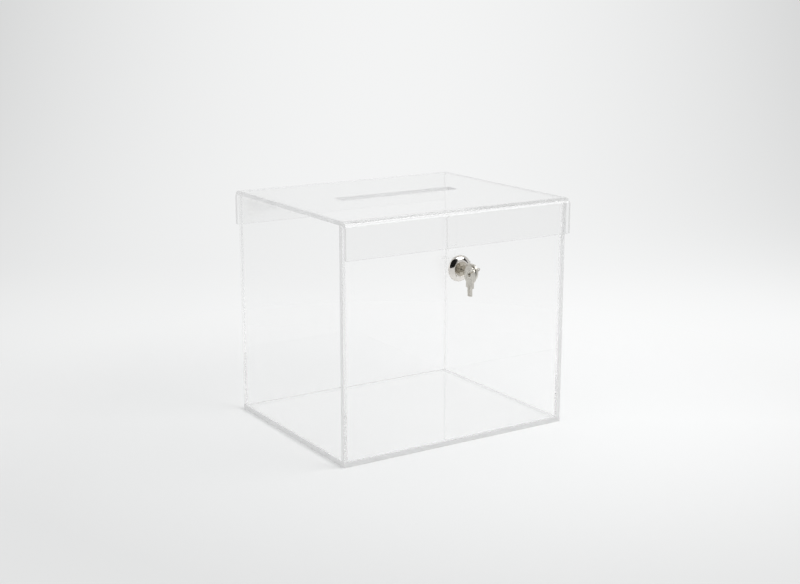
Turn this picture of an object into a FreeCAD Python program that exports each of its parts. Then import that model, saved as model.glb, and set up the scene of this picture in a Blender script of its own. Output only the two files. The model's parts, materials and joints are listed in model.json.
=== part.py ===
import FreeCAD, Part
import math
import os

# Clear sheet donation box with a line-bent lift-off lid and a small cam lock, in millimetres.
# +X runs right along the front, +Y from front to rear and +Z up.
# The origin is on the floor, under the middle of the base plate.

# Sheet box
box_width = 250.0
box_depth = 206.0
wall_height = 218.5
wall_thickness = 5.0
base_thickness = 5.0
edge_break = 0.3

# Bent lid
lid_thickness = 4.0
lid_flange_gap = 3.2
lid_drop = 34.5
slot_length = 133.0
slot_width = 18.0
slot_corner_radius = 1.5
slot_setback = 4.5

# Lock housing, with distances along its axis counted from the wall's front face
head_below_flange = 8.7
head_diameter = 25.0
head_face_diameter = 15.6
head_depth = 4.2
head_rim = 0.9
head_bulge = 0.5
barrel_diameter = 12.0
barrel_flats = 10.6
barrel_end = 9.4
thread_pitch = 1.0
thread_depth = 0.3
nut_across_flats = 15.0
nut_thickness = 2.4
lock_washer_diameter = 15.6
lock_washer_thickness = 0.5

# Lock plug and the pieces that turn with it
plug_diameter = 8.6
plug_head_diameter = 13.4
plug_head_thickness = 0.6
wafer_count = 3
wafer_pitch = 0.9
wafer_thickness = 0.6
wafer_width = 3.6
wafer_height = 7.7
wafer_lug = 1.1
first_wafer = -3.0
wafer_reach = 0.8
spring_diameter = 0.9
spring_bore = 0.45
spring_length = 2.2
stub_square = 5.4
stub_corner_diameter = 6.8
stop_washer_diameter = 9.6
stop_washer_thickness = 0.8
stop_tab_reach = 5.8
stop_tab_width = 2.4
stop_margin = 2.0
lock_turn = 90.0
cam_thickness = 1.5
cam_hub_diameter = 10.0
cam_arm_width = 8.0
cam_tip_width = 6.4
cam_reach = 18.0
cam_tongue = 6.0
cam_washer_diameter = 8.0
cam_washer_thickness = 0.8
cam_screw_diameter = 4.0
cam_screw_head_diameter = 7.0
cam_screw_head_height = 2.2
cam_screw_length = 6.0
screw_slot_width = 1.0
screw_slot_depth = 1.0

# Catch plate under the lid
catch_thickness = 3.0
catch_web = 7.0
catch_hook = 7.5
catch_cam_gap = 1.2
catch_notch_room = 1.0
catch_side_room = 1.5

# Keys and their ring
key_thickness = 2.0
bow_width = 15.4
bow_length = 15.6
neck_width = 10.0
neck_length = 5.2
blade_width = 5.2
bow_shoulder = 2.6
key_hole_diameter = 4.0
key_hole_from_end = 8.2
key_neck_gap = 4.0
key_tip_reach = 0.9
key_tip_chamfer = 0.5
key_groove_width = 1.0
key_groove_depth = 0.5
key_cut_depths = (0.5, 0.8, 0.4)
key_cut_floor = 0.3
key_cut_slope = 0.3
ring_wire = 1.2
ring_mean_diameter = 10.8
ring_tilt = 35.0
ring_split = 6.0
ring_gap = 0.2
spare_key_gap = 0.3

# Clearances
running_clearance = 0.05
slip_clearance = 0.1
hole_clearance = 0.15

# Places that follow from the sizes above
front_y = -box_depth / 2
wall_top = base_thickness + wall_height
lid_top = wall_top + lid_thickness
bend_radius = lid_thickness + lid_flange_gap
lid_front_y = front_y - bend_radius
flange_low = lid_top - lid_drop
lock_height = flange_low - head_below_flange - head_diameter / 2
barrel_radius = barrel_diameter / 2
plug_radius = plug_diameter / 2
bore_radius = plug_radius + running_clearance
plug_shoulder = barrel_end - stop_washer_thickness + running_clearance
cam_front = plug_shoulder + stop_washer_thickness
cam_rear = cam_front + cam_thickness
cam_washer_rear = cam_rear + cam_washer_thickness
tongue_inner = cam_reach - cam_thickness
stub_end = cam_rear - slip_clearance
wafer_places = [first_wafer + i * wafer_pitch for i in range(wafer_count)]
key_tip = wafer_places[-1] + key_tip_reach
key_end_out = head_depth + key_neck_gap + neck_length + bow_length
key_length = key_end_out + key_tip
spare_key_x = -(key_thickness + spare_key_gap)
hole_out = key_end_out - key_hole_from_end
ring_radius = ring_mean_diameter / 2
ring_seat = (key_hole_diameter - ring_wire) / 2 - ring_gap
ring_rise = ring_radius - math.sqrt(ring_radius**2 - (key_thickness + spare_key_gap / 2) ** 2)
AXIS_X = FreeCAD.Vector(1, 0, 0)
AXIS_Y = FreeCAD.Vector(0, 1, 0)
AXIS_Z = FreeCAD.Vector(0, 0, 1)
ORIGIN = FreeCAD.Vector(0, 0, 0)


def at_lock(x, along, up):
    """Point beside the lock's axis, by its distance behind the wall's front face."""
    return FreeCAD.Vector(x, front_y + along, lock_height + up)


def block(x0, x1, y0, y1, z0, z1):
    """Rectangular solid between two corners."""
    return Part.makeBox(x1 - x0, y1 - y0, z1 - z0, FreeCAD.Vector(x0, y0, z0))


def lock_block(half_x, half_z, start, end, x=0.0, z=0.0):
    """Rectangular solid along the lock's axis."""
    return Part.makeBox(2 * half_x, end - start, 2 * half_z, at_lock(x - half_x, start, z - half_z))


def lock_rod(radius, start, end):
    """Round solid on the lock's axis."""
    return Part.makeCylinder(radius, end - start, at_lock(0, start, 0), AXIS_Y)


def lock_ring(outer, inner, start, end):
    """Flat round washer on the lock's axis."""
    return lock_rod(outer, start, end).cut(lock_rod(inner, start, end))


def lock_sector(radius, start, end, from_angle, sweep):
    """Slice of a rod, with angles from +X towards +Z as seen from the front."""
    slice_solid = Part.makeCylinder(radius, end - start, ORIGIN, AXIS_Z, sweep)
    slice_solid.rotate(ORIGIN, AXIS_X, 90)
    slice_solid.rotate(ORIGIN, -AXIS_Y, from_angle)
    slice_solid.translate(at_lock(0, end, 0))
    return slice_solid


def turned(edges):
    """Solid of revolution about the lock's axis from a closed outline."""
    outline = Part.Face(Part.Wire(edges))
    return outline.revolve(at_lock(0, 0, 0), AXIS_Y, 360)


def outline_edges(points):
    """Straight closed edges through the points."""
    loop = list(points) + [points[0]]
    return [Part.LineSegment(a, b).toShape() for a, b in zip(loop, loop[1:])]


def sheet(x0, x1, y0, y1, z0, z1):
    """Flat cut sheet with its sharp edges taken off."""
    panel = block(x0, x1, y0, y1, z0, z1)
    return panel.makeChamfer(edge_break, panel.Edges)


def base_plate():
    return sheet(-box_width / 2, box_width / 2, front_y, -front_y, 0, base_thickness)


def front_panel():
    """Front wall, open at its left end, with the lock's flatted hole."""
    right_end = box_width / 2 - wall_thickness
    panel = sheet(-box_width / 2, right_end, front_y, front_y + wall_thickness, base_thickness, wall_top)
    hole = lock_rod(barrel_radius + hole_clearance, -edge_break, wall_thickness + edge_break)
    flats = lock_block(
        barrel_flats / 2 + hole_clearance, barrel_diameter, -edge_break, wall_thickness + edge_break
    )
    return panel.cut(hole.common(flats))


def rear_panel():
    """Rear wall, open at its right end."""
    left_end = wall_thickness - box_width / 2
    return sheet(left_end, box_width / 2, -front_y - wall_thickness, -front_y, base_thickness, wall_top)


def left_panel():
    """Left wall, behind the front wall and open at its rear end."""
    left = -box_width / 2
    return sheet(left, left + wall_thickness, front_y + wall_thickness, -front_y, base_thickness, wall_top)


def right_panel():
    """Right wall, in front of the rear wall and open at its front end."""
    right = box_width / 2
    return sheet(right - wall_thickness, right, front_y, -front_y - wall_thickness, base_thickness, wall_top)


def lid_section(inset, radius):
    """Edges along one skin of the bent lid, from the front flange to the rear one."""
    x = -box_width / 2
    top = lid_top - inset
    front = lid_front_y + inset
    bend_y = lid_front_y + bend_radius
    bend_z = lid_top - bend_radius
    diagonal = radius * math.sqrt(0.5)

    def point(y, z):
        return FreeCAD.Vector(x, y, z)

    front_crown = point(bend_y - diagonal, bend_z + diagonal)
    rear_crown = point(-bend_y + diagonal, bend_z + diagonal)
    front_arc = Part.Arc(point(front, bend_z), front_crown, point(bend_y, top))
    rear_arc = Part.Arc(point(-bend_y, top), rear_crown, point(-front, bend_z))
    return [
        Part.LineSegment(point(front, flange_low), point(front, bend_z)).toShape(),
        front_arc.toShape(),
        Part.LineSegment(point(bend_y, top), point(-bend_y, top)).toShape(),
        rear_arc.toShape(),
        Part.LineSegment(point(-front, bend_z), point(-front, flange_low)).toShape(),
    ]


def lid():
    """One sheet bent down at the front and rear, with the paper slot in its top."""
    outer = lid_section(0, bend_radius)
    inner = lid_section(lid_thickness, bend_radius - lid_thickness)
    ends = [
        Part.LineSegment(outer[0].firstVertex().Point, inner[0].firstVertex().Point).toShape(),
        Part.LineSegment(outer[-1].lastVertex().Point, inner[-1].lastVertex().Point).toShape(),
    ]
    section = Part.Face(Part.Wire(Part.__sortEdges__(outer + inner + ends)))
    bent = section.extrude(AXIS_X * box_width)
    slot_front = slot_setback - slot_width / 2
    slot = block(-slot_length / 2, slot_length / 2, slot_front, slot_front + slot_width, wall_top, lid_top)
    corners = [edge for edge in slot.Edges if abs(edge.tangentAt(edge.FirstParameter).z) > 0.5]
    return bent.cut(slot.makeFillet(slot_corner_radius, corners))


def lid_catch():
    """Hooked plate bonded under the lid, whose notch takes the cam's tongue."""
    start = cam_rear + catch_cam_gap
    notch_low = tongue_inner - catch_notch_room
    notch_high = cam_reach + 2 * catch_notch_room
    notch_left = -cam_tip_width / 2 - catch_side_room
    right = cam_tip_width / 2
    left = notch_left - catch_web
    hook_low = notch_low - catch_hook
    points = [
        at_lock(left, start, hook_low),
        at_lock(right, start, hook_low),
        at_lock(right, start, notch_low),
        at_lock(notch_left, start, notch_low),
        at_lock(notch_left, start, notch_high),
        at_lock(right, start, notch_high),
        FreeCAD.Vector(right, front_y + start, wall_top),
        FreeCAD.Vector(left, front_y + start, wall_top),
    ]
    return Part.Face(Part.Wire(outline_edges(points))).extrude(AXIS_Y * catch_thickness)


def housing_outline():
    """Half section of the lock housing: domed head, then threaded barrel."""
    head = head_diameter / 2
    face = head_face_diameter / 2
    rim_point = at_lock(head, -head_rim, 0)
    face_point = at_lock(face, -head_depth, 0)
    middle = (rim_point + face_point) * 0.5
    slope = face_point - rim_point
    outward = FreeCAD.Vector(-slope.y, slope.x, 0)
    outward.normalize()
    crown = middle + outward * head_bulge
    thread = [at_lock(barrel_radius, 0, 0), at_lock(barrel_radius, wall_thickness, 0)]
    turns = int((barrel_end - wall_thickness) / thread_pitch)
    for turn in range(turns):
        crest = wall_thickness + (turn + 1) * thread_pitch
        thread.append(at_lock(barrel_radius - thread_depth, crest - thread_pitch / 2, 0))
        thread.append(at_lock(barrel_radius, crest, 0))
    thread.append(at_lock(barrel_radius - thread_depth, barrel_end, 0))
    path = [at_lock(0, -head_depth, 0), face_point]
    rest = [rim_point, at_lock(head, 0, 0)] + thread + [at_lock(0, barrel_end, 0), path[0]]
    edges = outline_edges(path)[:1]
    edges.append(Part.Arc(face_point, crown, rim_point).toShape())
    edges.extend(Part.LineSegment(a, b).toShape() for a, b in zip(rest, rest[1:]))
    return edges


def lock_housing():
    """Domed head and flatted barrel, bored for the plug, its wafers and the stop washer."""
    housing = turned(housing_outline())
    flats = lock_block(barrel_flats / 2, barrel_diameter, 0, barrel_end)
    head = lock_rod(head_diameter, -head_depth, 0)
    housing = housing.common(flats.fuse(head))
    seat = plug_head_diameter / 2 + running_clearance
    seat_end = plug_head_thickness - head_depth + running_clearance
    washer_seat = barrel_end - stop_washer_thickness
    groove_start = wafer_places[0] - wafer_thickness
    groove_end = wafer_places[-1] + wafer_thickness
    cuts = [
        lock_rod(bore_radius, -head_depth, barrel_end),
        lock_rod(seat, -head_depth, seat_end),
        lock_block(wafer_width / 2 + slip_clearance, plug_radius + wafer_reach, groove_start, groove_end),
        lock_rod(stop_washer_diameter / 2 + running_clearance, washer_seat, barrel_end),
        stop_sector(washer_seat),
    ]
    for tool in cuts:
        housing = housing.cut(tool)
    return housing


def stop_sector(start):
    """Room in the barrel's end for the stop washer's tab to swing."""
    half_tab = math.degrees(math.asin(stop_tab_width / stop_washer_diameter))
    begin = 180 - half_tab - stop_margin
    return lock_sector(barrel_diameter, start, barrel_end, begin, lock_turn + 2 * (half_tab + stop_margin))


def lock_washer():
    start = wall_thickness
    return lock_ring(
        lock_washer_diameter / 2, barrel_radius + hole_clearance, start, start + lock_washer_thickness
    )


def lock_nut():
    """Thin hexagon nut that clamps the housing to the front wall."""
    start = wall_thickness + lock_washer_thickness
    corner = nut_across_flats / math.sqrt(3)
    angles = [math.radians(30 + 60 * side) for side in range(6)]
    points = [at_lock(corner * math.cos(a), start, corner * math.sin(a)) for a in angles]
    nut = Part.Face(Part.Wire(outline_edges(points))).extrude(AXIS_Y * nut_thickness)
    return nut.cut(lock_rod(barrel_radius + running_clearance, start, start + nut_thickness))


def wafer_side(index):
    """Springs stand on the right and the left in turn."""
    return 1 if index % 2 == 0 else -1


def lock_plug():
    """Round plug with its keyway, wafer slots, spring pockets and square stub."""
    head_end = plug_head_thickness - head_depth
    plug = lock_rod(plug_head_diameter / 2, -head_depth, head_end)
    plug = plug.fuse(lock_rod(plug_radius, head_end, plug_shoulder))
    stub = lock_block(stub_square / 2, stub_square / 2, plug_shoulder, stub_end)
    plug = plug.fuse(stub.common(lock_rod(stub_corner_diameter / 2, plug_shoulder, stub_end)))
    keyway = lock_block(
        key_thickness / 2 + slip_clearance,
        blade_width / 2 + slip_clearance,
        -head_depth,
        key_tip + slip_clearance,
    )
    plug = plug.cut(keyway)
    for index, place in enumerate(wafer_places):
        plug = plug.cut(wafer_slot(place, wafer_side(index)))
    screw_hole = lock_rod(cam_screw_diameter / 2 + running_clearance, stub_end - cam_screw_length, stub_end)
    return plug.cut(screw_hole)


def wafer_slot(place, side):
    """Slot for one wafer, with the pocket of its lug and spring."""
    half = wafer_thickness / 2 + running_clearance
    half_width = wafer_width / 2 + running_clearance
    slot = lock_block(half_width, plug_radius, place - half, place + half)
    lug_x = side * (wafer_width + wafer_lug) / 2
    lug = lock_block(
        wafer_lug / 2 + running_clearance,
        wafer_lug / 2 + running_clearance,
        place - half,
        place + half,
        lug_x,
    )
    pocket_half = spring_diameter / 2 + running_clearance
    pocket_height = spring_length / 2 + running_clearance
    pocket = lock_block(
        pocket_half, pocket_height, place - pocket_half, place + pocket_half, lug_x, spring_middle()
    )
    return slot.fuse(lug).fuse(pocket)


def spring_middle():
    """Height of a spring's middle above the lock's axis."""
    return wafer_lug / 2 + running_clearance + spring_length / 2


def plug_wafers():
    """Flat wafers, each with a window that the key's blade runs through."""
    wafers = []
    for index, place in enumerate(wafer_places):
        start = place - wafer_thickness / 2
        end = place + wafer_thickness / 2
        plate = lock_block(wafer_width / 2, wafer_height / 2, start, end)
        lug_x = wafer_side(index) * (wafer_width + wafer_lug) / 2
        plate = plate.fuse(lock_block(wafer_lug / 2, wafer_lug / 2, start, end, lug_x))
        window = lock_block(
            key_thickness / 2 + 2 * slip_clearance, blade_width / 2 + 2 * slip_clearance, start, end
        )
        wafers.append(plate.cut(window).removeSplitter())
    return Part.makeCompound(wafers)


def wafer_springs():
    """Envelopes of the coil springs that push the wafers, one beside each."""
    springs = []
    for index, place in enumerate(wafer_places):
        x = wafer_side(index) * (wafer_width + wafer_lug) / 2
        foot = at_lock(x, place, spring_middle() - spring_length / 2)
        tube = Part.makeCylinder(spring_diameter / 2, spring_length, foot, AXIS_Z)
        springs.append(tube.cut(Part.makeCylinder(spring_bore / 2, spring_length, foot, AXIS_Z)))
    return Part.makeCompound(springs)


def stub_hole(start, end):
    """Square hole that fits over the plug's stub."""
    half = stub_square / 2 + running_clearance
    hole = lock_block(half, half, start, end)
    return hole.common(lock_rod(stub_corner_diameter / 2 + running_clearance, start, end))


def stop_washer():
    """Washer on the stub, whose tab limits the turn."""
    start = plug_shoulder
    end = start + stop_washer_thickness
    disc = lock_rod(stop_washer_diameter / 2, start, end)
    tab = lock_block(stop_tab_reach / 2, stop_tab_width / 2, start, end, -stop_tab_reach / 2)
    return disc.fuse(tab).cut(stub_hole(start, end)).removeSplitter()


def cam():
    """Flat arm with its tip bent back into a tongue, pointing right while unlocked."""
    points = [
        at_lock(0, cam_front, -cam_arm_width / 2),
        at_lock(cam_reach, cam_front, -cam_tip_width / 2),
        at_lock(cam_reach, cam_front, cam_tip_width / 2),
        at_lock(0, cam_front, cam_arm_width / 2),
    ]
    arm = Part.Face(Part.Wire(outline_edges(points))).extrude(AXIS_Y * cam_thickness)
    tongue = lock_block(
        cam_thickness / 2, cam_tip_width / 2, cam_front, cam_rear + cam_tongue, cam_reach - cam_thickness / 2
    )
    hub = lock_rod(cam_hub_diameter / 2, cam_front, cam_rear)
    return hub.fuse(arm).fuse(tongue).cut(stub_hole(cam_front, cam_rear)).removeSplitter()


def cam_washer():
    return lock_ring(
        cam_washer_diameter / 2, cam_screw_diameter / 2 + running_clearance, cam_rear, cam_washer_rear
    )


def cam_screw():
    """Slotted screw that holds the cam on the plug's stub."""
    head_end = cam_washer_rear + cam_screw_head_height
    tip = stub_end - cam_screw_length + slip_clearance
    head = lock_rod(cam_screw_head_diameter / 2, cam_washer_rear, head_end)
    screw = head.fuse(lock_rod(cam_screw_diameter / 2, tip, cam_washer_rear))
    slot = lock_block(
        cam_screw_head_diameter, screw_slot_width / 2, head_end - screw_slot_depth, head_end
    )
    return screw.cut(slot).removeSplitter()


def blade_upper_edge():
    """Points along the cut edge of the blade, from the neck to the tip."""
    high = blade_width / 2
    points = [(bow_length + neck_length, high)]
    for place, depth in zip(wafer_places, key_cut_depths):
        middle = place + key_end_out
        floor = key_cut_floor / 2
        mouth = floor + depth * key_cut_slope
        points.append((middle - mouth, high))
        points.append((middle - floor, high - depth))
        points.append((middle + floor, high - depth))
        points.append((middle + mouth, high))
    return points


def key_blank():
    """Flat key along +Y from the middle of its bow's end, lying in the plane X = 0."""
    half_bow = bow_width / 2
    half_neck = neck_width / 2
    shoulder = bow_length - bow_shoulder
    neck_end = bow_length + neck_length
    half_blade = blade_width / 2

    def point(along, up):
        return FreeCAD.Vector(-key_thickness / 2, along, up)

    tip = [
        (key_length - key_tip_chamfer, half_blade),
        (key_length, half_blade - key_tip_chamfer),
        (key_length, key_tip_chamfer - half_blade),
        (key_length - key_tip_chamfer, -half_blade),
    ]
    side = [(half_bow, half_bow), (shoulder, half_bow), (bow_length, half_neck), (neck_end, half_neck)]
    under = [(along, -up) for along, up in reversed(side)]
    corners = [point(*place) for place in side + blade_upper_edge() + tip + [(neck_end, -half_blade)] + under]
    edges = [Part.LineSegment(a, b).toShape() for a, b in zip(corners, corners[1:])]
    edges.append(Part.Arc(corners[-1], point(0, 0), corners[0]).toShape())
    blank = Part.Face(Part.Wire(edges)).extrude(AXIS_X * key_thickness)
    hole = Part.makeCylinder(key_hole_diameter / 2, key_thickness, point(key_hole_from_end, 0), AXIS_X)
    groove = block(
        -key_thickness / 2,
        key_groove_depth - key_thickness / 2,
        bow_length + neck_length / 2,
        key_length,
        -key_groove_width / 2,
        key_groove_width / 2,
    )
    return blank.cut(hole).cut(groove)


def key():
    """Key in the lock, its bow upright."""
    solid = key_blank()
    solid.translate(at_lock(0, -key_end_out, 0))
    return solid


def key_ring():
    """Bent wire ring that rests in the key's hole and leans up and out around both bows."""
    tilt = math.radians(ring_tilt)
    lean = FreeCAD.Vector(0, -math.cos(tilt), math.sin(tilt))
    seat = at_lock(spare_key_x / 2, -hole_out, -ring_seat)
    middle = seat + lean * ring_radius
    normal = AXIS_X.cross(lean)
    section = Part.Face(Part.Wire(Part.makeCircle(ring_wire / 2, seat, AXIS_X)))
    section.rotate(middle, normal, 180 + ring_split / 2)
    return section.revolve(middle, normal, 360 - ring_split)


def spare_key():
    """Second key, hanging from the ring beside the first."""
    solid = key_blank()
    solid.translate(FreeCAD.Vector(0, -key_hole_from_end, 0))
    solid.rotate(ORIGIN, AXIS_X, -90)
    solid.translate(at_lock(spare_key_x, -hole_out, ring_rise - 2 * ring_seat))
    return solid


PIECES = (
    base_plate,
    front_panel,
    rear_panel,
    left_panel,
    right_panel,
    lid,
    lid_catch,
    lock_housing,
    lock_washer,
    lock_nut,
    lock_plug,
    plug_wafers,
    wafer_springs,
    stop_washer,
    cam,
    cam_washer,
    cam_screw,
    key,
    key_ring,
    spare_key,
)


def main():
    os.makedirs("parts", exist_ok=True)
    for piece in PIECES:
        shape = piece()
        shape.exportStep("parts/" + piece.__name__ + ".step")
        print(piece.__name__, shape.isValid(), len(shape.Solids), round(shape.Volume, 2))


main()
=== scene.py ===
import functools
import json
import math

import bmesh
import bpy
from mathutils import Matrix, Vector


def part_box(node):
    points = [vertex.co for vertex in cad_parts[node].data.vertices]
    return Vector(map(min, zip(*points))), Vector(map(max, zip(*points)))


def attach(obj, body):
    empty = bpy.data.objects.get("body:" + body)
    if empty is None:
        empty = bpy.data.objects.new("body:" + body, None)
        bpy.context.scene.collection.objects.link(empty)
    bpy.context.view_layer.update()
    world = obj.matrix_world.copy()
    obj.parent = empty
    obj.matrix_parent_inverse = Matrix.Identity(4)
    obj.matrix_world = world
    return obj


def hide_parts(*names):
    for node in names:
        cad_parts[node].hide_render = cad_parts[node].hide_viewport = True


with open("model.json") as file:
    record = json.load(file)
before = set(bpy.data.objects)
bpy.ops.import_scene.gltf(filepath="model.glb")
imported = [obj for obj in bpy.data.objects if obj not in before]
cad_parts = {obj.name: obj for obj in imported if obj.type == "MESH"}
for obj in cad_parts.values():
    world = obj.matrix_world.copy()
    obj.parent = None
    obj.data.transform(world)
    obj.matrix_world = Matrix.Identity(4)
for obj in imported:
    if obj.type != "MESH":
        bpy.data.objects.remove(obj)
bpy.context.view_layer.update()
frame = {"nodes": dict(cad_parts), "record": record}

bl_info = {
    "name": "Donation box",
    "version": (1, 0, 0),
    "blender": (4, 5, 0),
    "location": "3D View > Sidebar > Donation box",
    "description": "Dresses the clear donation box and its lock, and sets it on a pale stage",
    "category": "Object",
}

MM = 0.001
BODIES = frame["record"]["behaviour"]["bodies"]
BODY_OF = {node: body for body, nodes in BODIES.items() for node in nodes}

PANELS = ("base_plate", "front_panel", "rear_panel", "left_panel", "right_panel")

# Places read from the frame, in metres
BOX_LOW, BOX_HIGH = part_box("base_plate")
LID_LOW, LID_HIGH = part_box("lid")
WALL_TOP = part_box("front_panel")[1].z
WALL = BOX_HIGH.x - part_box("front_panel")[1].x
HOUSING_LOW, HOUSING_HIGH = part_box("lock_housing")
LOCK_Z = (HOUSING_LOW.z + HOUSING_HIGH.z) / 2
FRONT_Y = BOX_LOW.y
HEAD_RADIUS = (HOUSING_HIGH.z - HOUSING_LOW.z) / 2
HEAD_DEPTH = FRONT_Y - HOUSING_LOW.y
BARREL_END = HOUSING_HIGH.y - FRONT_Y

# How meshes are finished: turns in degrees, reaches in metres
SOFT_TURN = 40.0
ARRIS_TURN = 50.0
ARRIS_STEPS = 2
WELD_REACH = 0.001 * MM
JOIN_REACH = 0.0005 * MM
BOND_REACH = 0.05 * MM

# Turn in radians below which the parts of a cut face are joined again
FLAT_TURN = 0.01

# Share of a normal along a direction above which a face looks that way
LOOKS_ALONG = 0.7
LOOKS_UP = 0.5

# Finishes of a flat sheet and of the lid, by their places in the mesh
CLEAR, BONDED, SAWN = 0, 1, 2
LID_SAWN = 1

# Facets of round forms
HOLE_STEPS = 72
SLOT_CORNER_STEPS = 8
HEAD_STEPS = 20
HOUSING_STEPS = 144
THREAD_STEPS = 8
STOP_STEPS = 12
NUT_STEPS = 96
COIL_STEPS = 20
WIRE_SIDES = 8
SWEEP_STEPS = 24

# Where the barrel's end is open for the stop washer's tab, in degrees
STOP_START = 163
STOP_SWEEP = 124

# Width of the broken edges on nodes that keep their own shape
EDGE_ROUND = {
    "lid_catch": 0.1 * MM,
    "lock_washer": 0.12 * MM,
    "lock_plug": 0.15 * MM,
    "plug_wafers": 0.06 * MM,
    "stop_washer": 0.1 * MM,
    "cam": 0.2 * MM,
    "cam_washer": 0.1 * MM,
    "cam_screw": 0.2 * MM,
    "key": 0.25 * MM,
    "spare_key": 0.25 * MM,
}

# Clear sheets: setting of the tint, and index of refraction
CLEAR_SHEETS = {
    "clear_sheet": ("face_colour", 1.49),
    "clear_sheet_lid": ("lid_colour", 1.49),
    "clear_sheet_catch": ("face_colour", 1.1),
}
FILM_SHADE = 0.004
FILM_ROUGHNESS = 0.0025
PASSING_TINT = (0.992, 0.992, 0.992, 1.0)

# Saw-cut edges: setting of the colour, stretch of the saw lines, how much they cover, and
# the share of that cover left when they are seen from inside the sheet
# All three are one satin cut edge. Their colours and covers are set apart as painted light and
# shade, and the base plate's darker colour is painted shade
SAWN_EDGES = {
    "sawn_edge_upright": ("edge_colour", (1.0, 1.0, 0.04), 0.76, 0.25),
    "sawn_edge_level": ("base_edge_painted_shade_colour", (0.04, 0.04, 1.0), 0.84, 0.65),
    "sawn_edge_lid": ("edge_colour", (0.04, 0.04, 1.0), 0.74, 0.85),
}
SAW_SHADE = 0.95
SAW_COVER_SPREAD = 0.06
SAW_ROUGHNESS = (0.35, 0.55)
SAW_DEPTH = 0.1
BOND_HAZE = (0.18, 0.3)
BOND_COLOUR = (0.94, 0.94, 0.94, 1.0)

# Metals: setting of the colour, roughness and its spread, stretch of the fine lines, their
# depth, and how much duller the metal is where it is handled
METALS = {
    "polished_nickel": ("nickel_colour", 0.06, 0.10, (1, 1, 1), 0.05, 0.06),
    "satin_plug_plate": ("plug_colour", 0.18, 0.14, (1, 1, 1), 0.1, 0.06),
    "brushed_key_plate": ("key_colour", 0.24, 0.16, (1, 0.06, 1), 0.25, 0.06),
    "zinc_plate": ("zinc_colour", 0.26, 0.20, (0.2, 1, 1), 0.2, 0.1),
    "stamped_brass": ("brass_colour", 0.25, 0.2, (1, 1, 0.1), 0.25, 0.06),
    "spring_wire": ("spring_colour", 0.2, 0.15, (1, 1, 0.3), 0.15, 0.06),
}
LINE_DISTANCE = 0.01 * MM

# Sweep of paper, in metres
SWEEP_HALF = 9.0
SWEEP_FLAT = 0.9
SWEEP_BEND = 1.1
SWEEP_TOP = 4.0

# Where the painted light and shade on the paper change: by depth behind the box's middle in metres
NEAR_DEPTH = (0.2, 1.3)
FRONT_DEPTH = (-0.42, -0.02)
# Painted pool of light on the paper just behind the box
PAINTED_POOL_RISE = (0.05, 0.34)
PAINTED_POOL_FALL = (0.34, 0.8)
BEHIND_DEPTH = (0.3, 1.0)
# by distance to the right, and by the square of the distance to either side
LEAN_ACROSS = (-0.3, 0.5)
LEAN_SHARES = (-0.2, 0.6)
LEAN_SQUARE = (0.3, 1.2)
BESIDE_SQUARE = (1.4, 4.0)
# and by distance all round, beyond which the paper no longer takes the box's shadow
FREE_OF_SHADOW = (0.2, 0.5)
# Reach of the painted light and painted shade about the paper's plain colour
PAINTED_TONE_RANGE = (-0.3, 0.1)
GRAIN_SCALE = 900.0
GRAIN = 0.006

# Room: tones low down and overhead, and the dark places, each with its direction and the
# angles within which it is full and at which it ends
ROOM_RISE = (-0.1, 0.9)
ROOM_LOW = (0.92, 0.925, 0.93, 1.0)
ROOM_HIGH = (1.0, 1.0, 1.0, 1.0)
ROOM_DARK = (0.01, 0.01, 0.01, 1.0)
DARK_LEFT = ((-0.439, -0.793, 0.423), 33, 41)
DARK_RIGHT = ((0.90, -0.26, 0.34), 22, 30)

# Soft lights: place and size in metres, and the point that they face
SOFTBOX = ((1.05, -1.12, 1.85), 1.5)
FILL = ((-1.9, -0.15, 0.9), 1.6)
LAMP_TARGET = Vector((0.0, 0.0, 0.1))

# Camera and light paths
SENSOR_WIDTH = 36.0
LIGHT_BOUNCES = 160
CLEAR_BOUNCES = 64
BRIGHTEST_BOUNCE = 1.0


class SheetSettings(bpy.types.PropertyGroup):
    """Sizes and colours of the clear sheets."""

    joint_air: bpy.props.FloatProperty(
        name="Joint air", description="Air left under the base plate and round the lid",
        default=0.02 * MM, precision=6, unit="LENGTH",
    )
    edge_round: bpy.props.FloatProperty(
        name="Edge round", description="Width of the rounded arris along each sheet edge",
        default=0.2 * MM, precision=5, unit="LENGTH",
    )
    slot_length: bpy.props.FloatProperty(
        name="Slot length", description="Length of the paper slot in the lid",
        default=133 * MM, unit="LENGTH",
    )
    slot_width: bpy.props.FloatProperty(
        name="Slot width", description="Width of the paper slot in the lid",
        default=18 * MM, unit="LENGTH",
    )
    slot_setback: bpy.props.FloatProperty(
        name="Slot setback", description="How far the slot's middle lies behind the lid's middle",
        default=4.5 * MM, precision=4, unit="LENGTH",
    )
    slot_corner: bpy.props.FloatProperty(
        name="Slot corner", description="Corner radius of the paper slot",
        default=1.5 * MM, precision=4, unit="LENGTH",
    )
    bend_steps: bpy.props.IntProperty(
        name="Bend steps", description="Facets in each bend of the lid",
        default=20, min=4,
    )
    face_colour: bpy.props.FloatVectorProperty(
        name="Face colour", description="Tint of light that passes through a polished face",
        subtype="COLOR", size=4, default=(0.998, 0.998, 0.998, 1.0),
    )
    lid_colour: bpy.props.FloatVectorProperty(
        name="Lid colour",
        description="Tint of light that passes through a polished face of the lid",
        subtype="COLOR", size=4, default=(0.972, 0.972, 0.972, 1.0),
    )
    edge_colour: bpy.props.FloatVectorProperty(
        name="Edge colour", description="Colour of the satin saw-cut edges",
        subtype="COLOR", size=4, default=(0.76, 0.76, 0.76, 1.0),
    )
    # Painted shade: the base plate's cut edges are coloured darker than the walls' edges of the
    # same finish
    base_edge_painted_shade_colour: bpy.props.FloatVectorProperty(
        name="Base edge colour", description="Colour of the base plate's satin saw-cut edges",
        subtype="COLOR", size=4, default=(0.7, 0.7, 0.7, 1.0),
    )


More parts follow.
